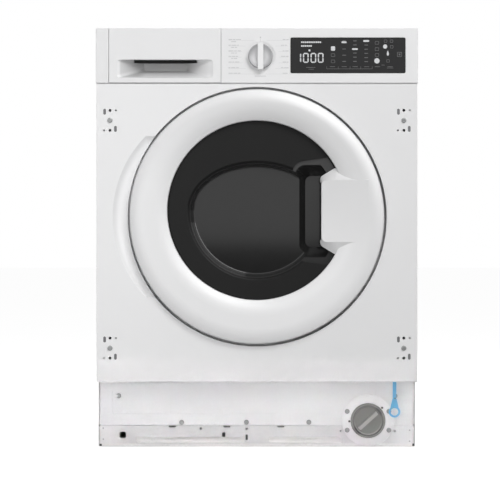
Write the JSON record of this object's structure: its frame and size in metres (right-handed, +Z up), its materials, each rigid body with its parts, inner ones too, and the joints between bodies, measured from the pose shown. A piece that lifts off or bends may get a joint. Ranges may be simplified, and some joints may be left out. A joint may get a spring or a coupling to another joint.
{
  "type": "integrated washer dryer",
  "caption": "Built-in washer dryer: white pressed cabinet with a round porthole door, soap drawer, programme knob, touch display, pump filter cap and release tag.",
  "frame": {"origin": "middle of the object's box at floor level, under the feet", "axes": "+X to the right seen from the front, the front faces -Y, +Z up"},
  "size_m": [0.595, 0.54, 0.779],
  "materials": {
    "white_enamel": "smooth white stove enamel on pressed sheet",
    "zinc_sheet": "zinc-coated sheet",
    "white_plastic": "satin moulded plastic",
    "base_plastic": "filled polypropylene",
    "grey_plastic": "pale grey moulding",
    "blue_plastic": "blue moulded strap",
    "filter_plastic": "grey-green moulding",
    "lint_plastic": "grey moulding",
    "smoked_cover": "smoked polished cover",
    "display_glass": "dark touch panel",
    "bowl_glass": "clear pressed glass",
    "seal_rubber": "grey bellows rubber",
    "black_plastic": "black moulding",
    "board": "coated circuit board",
    "tub_plastic": "filled polypropylene",
    "weight_cast": "cast counterweight block",
    "drum_steel": "perforated stainless sheet",
    "lifter_plastic": "grey moulding",
    "cast_aluminium": "die cast",
    "catch_metal": "die-cast zinc catch",
    "spring_steel": "drawn steel",
    "motor_steel": "motor case",
    "fan_plastic": "heat-proof moulding",
    "screw_steel": "zinc-plated fasteners"
  },
  "bodies": {
    "cabinet": {"front_panel": "white_enamel", "left_side_panel": "white_enamel", "right_side_panel": "white_enamel", "service_panel": "white_enamel", "rear_panel": "zinc_sheet", "rear_cover": "zinc_sheet", "top_cover": "zinc_sheet", "top_rails": "zinc_sheet", "hinge_plates": "zinc_sheet", "control_fascia": "white_plastic", "plinth_rail": "white_plastic", "filter_bezel": "white_plastic", "base_tray": "base_plastic", "dispenser_housing": "grey_plastic", "display_lens": "display_glass", "door_seal": "seal_rubber", "tub_hoses": "seal_rubber", "door_lock": "black_plastic", "drain_pump": "black_plastic", "drain_pipe": "black_plastic", "inlet_valve": "black_plastic", "mains_gland": "black_plastic", "control_board": "board", "hinge_bracket": "cast_aluminium", "suspension_springs": "spring_steel", "damper_cylinders": "spring_steel", "cabinet_fasteners": "screw_steel"},
    "tub": {"tub_front": "tub_plastic", "tub_rear": "tub_plastic", "counterweights": "weight_cast", "drum_bearings": "spring_steel", "motor_body": "motor_steel", "wash_heater": "spring_steel", "damper_rods": "spring_steel", "drive_belt": "seal_rubber", "dryer_duct": "cast_aluminium"},
    "drum": {"drum_shell": "drum_steel", "drum_lifters": "lifter_plastic", "drum_spider": "cast_aluminium", "drum_pulley": "cast_aluminium"},
    "rotor": {"motor_rotor": "motor_steel"},
    "fan": {"dryer_fan": "fan_plastic"},
    "impeller": {"pump_impeller": "lint_plastic"},
    "door": {"door_ring": "white_plastic", "door_window": "smoked_cover", "door_glass": "bowl_glass", "door_frame": "grey_plastic", "hinge_arm": "cast_aluminium"},
    "hook": {"door_hook": "catch_metal"},
    "drawer": {"drawer_front": "white_plastic", "drawer_tray": "grey_plastic", "siphon_cap": "blue_plastic"},
    "knob": {"programme_knob": "white_plastic"},
    "lint_filter": {"filter_basket": "lint_plastic"},
    "filter_handle": {"filter_cap": "filter_plastic"},
    "tag": {"release_tag": "blue_plastic"},
    "foot_front_left": {"foot_front_left": "black_plastic"},
    "foot_rear_left": {"foot_rear_left": "black_plastic"},
    "foot_front_right": {"foot_front_right": "black_plastic"},
    "foot_rear_right": {"foot_rear_right": "black_plastic"}
  },
  "joints": [
    {"name": "tub_bounce", "type": "slide", "parent": "cabinet", "child": "tub", "axis": [0, 0, 1], "range_m": [-0.01, 0.01], "stiffness_N_per_m": 15000, "springref_m": 0.0166, "deforming": ["suspension_springs", "door_seal", "tub_hoses"]},
    {"name": "drum_turn", "type": "hinge", "parent": "tub", "child": "drum", "pos_m": [0, 0, 0.431], "axis": [0, 1, 0], "continuous": true},
    {"name": "rotor_turn", "type": "hinge", "parent": "tub", "child": "rotor", "pos_m": [-0.07, 0, 0.101], "axis": [0, 1, 0], "continuous": true},
    {"name": "fan_turn", "type": "hinge", "parent": "tub", "child": "fan", "pos_m": [0.15, 0.067, 0.689], "axis": [0, 0, 1], "continuous": true},
    {"name": "impeller_turn", "type": "hinge", "parent": "cabinet", "child": "impeller", "pos_m": [0.208, -0.09, 0.05], "axis": [0, 1, 0], "continuous": true},
    {"name": "door_swing", "type": "hinge", "parent": "cabinet", "child": "door", "pos_m": [-0.2241, -0.2495, 0.431], "axis": [0, 0, -1], "range_deg": [0, 100]},
    {"name": "hook_tilt", "type": "hinge", "parent": "door", "child": "hook", "pos_m": [0.2, -0.2385, 0.431], "axis": [0, 0, 1], "range_deg": [0, 8], "stiffness_Nm_per_rad": 0.6, "springref_deg": -5.73},
    {"name": "drawer_slide", "type": "slide", "parent": "cabinet", "child": "drawer", "axis": [0, -1, 0], "range_m": [0, 0.165]},
    {"name": "knob_turn", "type": "hinge", "parent": "cabinet", "child": "knob", "pos_m": [0.0065, -0.253, 0.727], "axis": [0, -1, 0], "continuous": true},
    {"name": "filter_pull", "type": "slide", "parent": "cabinet", "child": "lint_filter", "axis": [0, -1, 0], "range_m": [0, 0.1]},
    {"name": "filter_turn", "type": "hinge", "parent": "lint_filter", "child": "filter_handle", "pos_m": [0.208, -0.195, 0.05], "axis": [0, -1, 0], "range_deg": [0, 270]},
    {"name": "tag_pull", "type": "slide", "parent": "cabinet", "child": "tag", "axis": [0, 0, -1], "range_m": [0, 0.015], "stiffness_N_per_m": 150, "springref_m": -0.01},
    {"name": "foot_front_left_screw", "type": "slide", "parent": "cabinet", "child": "foot_front_left", "axis": [0, 0, -1], "range_m": [0, 0.04]},
    {"name": "foot_rear_left_screw", "type": "slide", "parent": "cabinet", "child": "foot_rear_left", "axis": [0, 0, -1], "range_m": [0, 0.04]},
    {"name": "foot_front_right_screw", "type": "slide", "parent": "cabinet", "child": "foot_front_right", "axis": [0, 0, -1], "range_m": [0, 0.04]},
    {"name": "foot_rear_right_screw", "type": "slide", "parent": "cabinet", "child": "foot_rear_right", "axis": [0, 0, -1], "range_m": [0, 0.04]}
  ],
  "couplings": [
    {"joint": "rotor_turn", "follows": "drum_turn", "ratio": 14.6}
  ]
}
